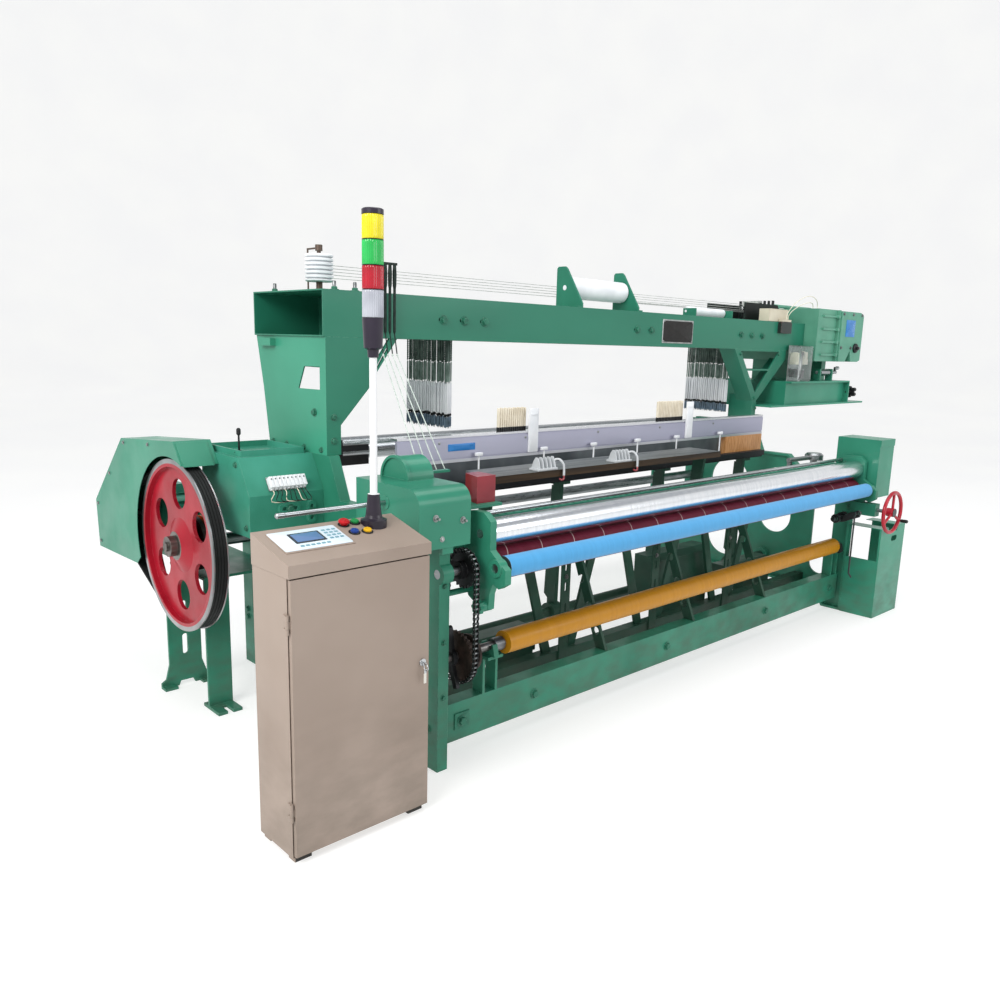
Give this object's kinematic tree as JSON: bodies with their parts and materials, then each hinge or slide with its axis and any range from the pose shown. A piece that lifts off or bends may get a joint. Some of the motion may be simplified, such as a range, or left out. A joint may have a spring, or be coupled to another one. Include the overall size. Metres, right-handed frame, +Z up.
{
  "type": "rapier power loom",
  "caption": "Shuttleless power loom: cast side frames, gantry beam with dobby, swinging sley and reed, cloth rollers, belt-driven flywheel and a free-standing control cabinet with signal lamp.",
  "frame": {"origin": "middle of the whole loom's footprint, on the floor", "axes": "+X along the loom towards the dobby, +Y from the weaver towards the warp, +Z up"},
  "size_m": [5.4435, 2.419, 2.034],
  "materials": {
    "loom_green": "green enamel, satin",
    "wheel_red": "red enamel",
    "taupe": "taupe powder coat",
    "maroon": "maroon hammered enamel",
    "dark_green": "dark green enamel",
    "bright_steel": "ground steel",
    "dark_steel": "oiled dark steel",
    "polished": "polished roller sleeve",
    "cap_grey": "anodised lilac grey",
    "black_rubber": "black rubber",
    "roller_blue": "blue needle covering",
    "roller_maroon": "maroon grip covering",
    "roller_yellow": "orange yellow enamel",
    "nylon_white": "white nylon",
    "block_wood": "varnished hardwood",
    "cord_grey": "grey cord",
    "lens": "coloured lens",
    "red_plastic": "red cap",
    "green_plastic": "green cap",
    "blue_plastic": "blue cap",
    "yellow_plastic": "yellow cap",
    "white_paint": "white enamel",
    "disc_iron": "red-brown iron"
  },
  "bodies": {
    "frame": {"left_side_frame": "loom_green", "right_side_frame": "loom_green", "front_rail": "loom_green", "inner_frame": "loom_green", "left_column": "loom_green", "right_column": "loom_green", "top_beam": "loom_green", "beam_fittings": "loom_green", "frame_bolts": "dark_steel", "left_front_cover": "loom_green", "gear_housing": "loom_green", "right_side_boxes": "loom_green", "roller_end_brackets": "loom_green", "drive_chain": "dark_steel", "front_bars": "bright_steel", "instrument_boxes": "maroon", "drive_belts": "black_rubber", "motor": "loom_green", "guard_legs": "loom_green", "belt_guard": "loom_green", "dobby_body": "dark_green", "dobby_cover": "dark_green", "dobby_table": "loom_green", "selector_cords": "dark_green", "cabinet": "taupe", "lamp_post": "white_paint", "lamp_lenses": "lens", "control_cables": "black_rubber"},
    "sley": {"sley_swords": "loom_green", "sley_beam": "loom_green", "reed": "bright_steel", "reed_cap": "cap_grey", "end_blocks": "block_wood"},
    "take_up": {"take_up_roller": "roller_maroon", "drive_sprocket": "dark_steel"},
    "press_roll": {"press_roller": "roller_blue"},
    "breast_roll": {"breast_roller": "polished"},
    "cloth_roll": {"cloth_roller": "roller_yellow", "friction_discs": "disc_iron"},
    "ratchet": {"ratchet_lever": "loom_green"},
    "hand_wheel": {"handwheel": "wheel_red"},
    "start_bar": {"start_rod": "bright_steel"},
    "drive_wheel": {"flywheel": "wheel_red", "main_shaft": "bright_steel"},
    "motor_sheave": {"motor_pulley": "dark_steel"},
    "gear_handle": {"gear_lever": "dark_steel"},
    "back_roll": {"back_rest": "bright_steel"},
    "upper_guide": {"upper_guide_roller": "nylon_white"},
    "right_guide": {"right_guide_roller": "nylon_white"},
    "spool": {"pulley_spool": "nylon_white"},
    "harness": {"harness_cords": "bright_steel"},
    "jacks": {"dobby_jacks": "dark_steel"},
    "lines": {"harness_lines": "cord_grey"},
    "dobby_crank": {"dobby_cylinder": "bright_steel"},
    "clamp_knob": {"table_knob": "dark_steel"},
    "door": {"cabinet_door": "taupe"},
    "red": {"red_button": "red_plastic"},
    "green": {"green_button": "green_plastic"},
    "blue": {"blue_button": "blue_plastic"},
    "yellow": {"yellow_button": "yellow_plastic"}
  },
  "joints": [
    {"name": "sley_swing", "type": "hinge", "parent": "frame", "child": "sley", "pos_m": [-0.31825, -0.3015, 0.25], "axis": [1, 0, 0], "range_deg": [-7, 10]},
    {"name": "take_up_turn", "type": "hinge", "parent": "frame", "child": "take_up", "pos_m": [-0.31825, -0.88773, 0.785], "axis": [1, 0, 0], "continuous": true},
    {"name": "press_turn", "type": "hinge", "parent": "frame", "child": "press_roll", "pos_m": [-0.31825, -0.9965, 0.8], "axis": [1, 0, 0], "continuous": true},
    {"name": "cloth_turn", "type": "hinge", "parent": "frame", "child": "cloth_roll", "pos_m": [-0.31825, -0.8615, 0.435], "axis": [1, 0, 0], "continuous": true},
    {"name": "breast_turn", "type": "hinge", "parent": "frame", "child": "breast_roll", "pos_m": [-0.31825, -0.9015, 0.915], "axis": [1, 0, 0], "continuous": true},
    {"name": "ratchet_pawl", "type": "hinge", "parent": "frame", "child": "ratchet", "pos_m": [-1.90425, -0.8615, 0.435], "axis": [1, 0, 0], "range_deg": [-20, 20]},
    {"name": "handwheel_turn", "type": "hinge", "parent": "frame", "child": "hand_wheel", "pos_m": [1.32975, -1.1515, 0.68], "axis": [0, 1, 0], "continuous": true},
    {"name": "start_turn", "type": "hinge", "parent": "frame", "child": "start_bar", "pos_m": [-2.19825, -0.7185, 1.04], "axis": [1, 0, 0], "range_deg": [-20, 20]},
    {"name": "wheel_turn", "type": "hinge", "parent": "frame", "child": "drive_wheel", "pos_m": [-2.48325, 0.2885, 0.738], "axis": [1, 0, 0], "continuous": true},
    {"name": "motor_turn", "type": "hinge", "parent": "frame", "child": "motor_sheave", "pos_m": [-2.46325, 0.9885, 0.76], "axis": [1, 0, 0], "continuous": true},
    {"name": "gear_shift", "type": "hinge", "parent": "frame", "child": "gear_handle", "pos_m": [-2.29825, 0.0435, 1.154], "axis": [1, 0, 0], "range_deg": [-25, 25]},
    {"name": "back_rest_turn", "type": "hinge", "parent": "frame", "child": "back_roll", "pos_m": [-0.31825, 0.5885, 1.06], "axis": [1, 0, 0], "continuous": true},
    {"name": "upper_guide_turn", "type": "hinge", "parent": "frame", "child": "upper_guide", "pos_m": [-0.37625, -0.0115, 1.924], "axis": [1, 0, 0], "continuous": true},
    {"name": "right_guide_turn", "type": "hinge", "parent": "frame", "child": "right_guide", "pos_m": [0.80175, 0.0385, 1.856], "axis": [1, 0, 0], "continuous": true},
    {"name": "spool_turn", "type": "hinge", "parent": "frame", "child": "spool", "pos_m": [-1.82325, 0.1835, 1.868], "axis": [0, 0, 1], "continuous": true},
    {"name": "harness_lift", "type": "slide", "parent": "frame", "child": "harness", "axis": [0, 0, 1], "range_m": [0, 0.045]},
    {"name": "jack_swing", "type": "hinge", "parent": "frame", "child": "jacks", "pos_m": [1.79175, 0.0385, 1.852], "axis": [0, 1, 0], "range_deg": [0, 25]},
    {"name": "lines_draw", "type": "slide", "parent": "frame", "child": "lines", "axis": [1, 0, 0], "range_m": [0, 0.046]},
    {"name": "crank_turn", "type": "hinge", "parent": "frame", "child": "dobby_crank", "pos_m": [2.12175, -0.1715, 1.478], "axis": [1, 0, 0], "continuous": true},
    {"name": "knob_turn", "type": "hinge", "parent": "frame", "child": "clamp_knob", "pos_m": [2.47475, -0.2415, 1.335], "axis": [1, 0, 0], "continuous": true},
    {"name": "door_swing", "type": "hinge", "parent": "frame", "child": "door", "pos_m": [-2.71625, -1.0795, 0.5], "axis": [0, 0, -1], "range_deg": [0, 110]},
    {"name": "red_press", "type": "slide", "parent": "frame", "child": "red", "axis": [0, 0.2534, -0.9674], "range_m": [0, 0.0035], "stiffness_N_per_m": 400},
    {"name": "green_press", "type": "slide", "parent": "frame", "child": "green", "axis": [0, 0.2534, -0.9674], "range_m": [0, 0.0035], "stiffness_N_per_m": 400},
    {"name": "blue_press", "type": "slide", "parent": "frame", "child": "blue", "axis": [0, 0.2534, -0.9674], "range_m": [0, 0.0035], "stiffness_N_per_m": 400},
    {"name": "yellow_press", "type": "slide", "parent": "frame", "child": "yellow", "axis": [0, 0.2534, -0.9674], "range_m": [0, 0.0035], "stiffness_N_per_m": 400}
  ],
  "couplings": [
    {"joint": "press_turn", "follows": "take_up_turn", "ratio": -1.6386},
    {"joint": "cloth_turn", "follows": "take_up_turn", "ratio": 0.70968},
    {"joint": "motor_turn", "follows": "wheel_turn", "ratio": 4.9722},
    {"joint": "jack_swing", "follows": "harness_lift", "rad_per_m": 9.3458},
    {"joint": "lines_draw", "follows": "harness_lift", "ratio": 1}
  ]
}
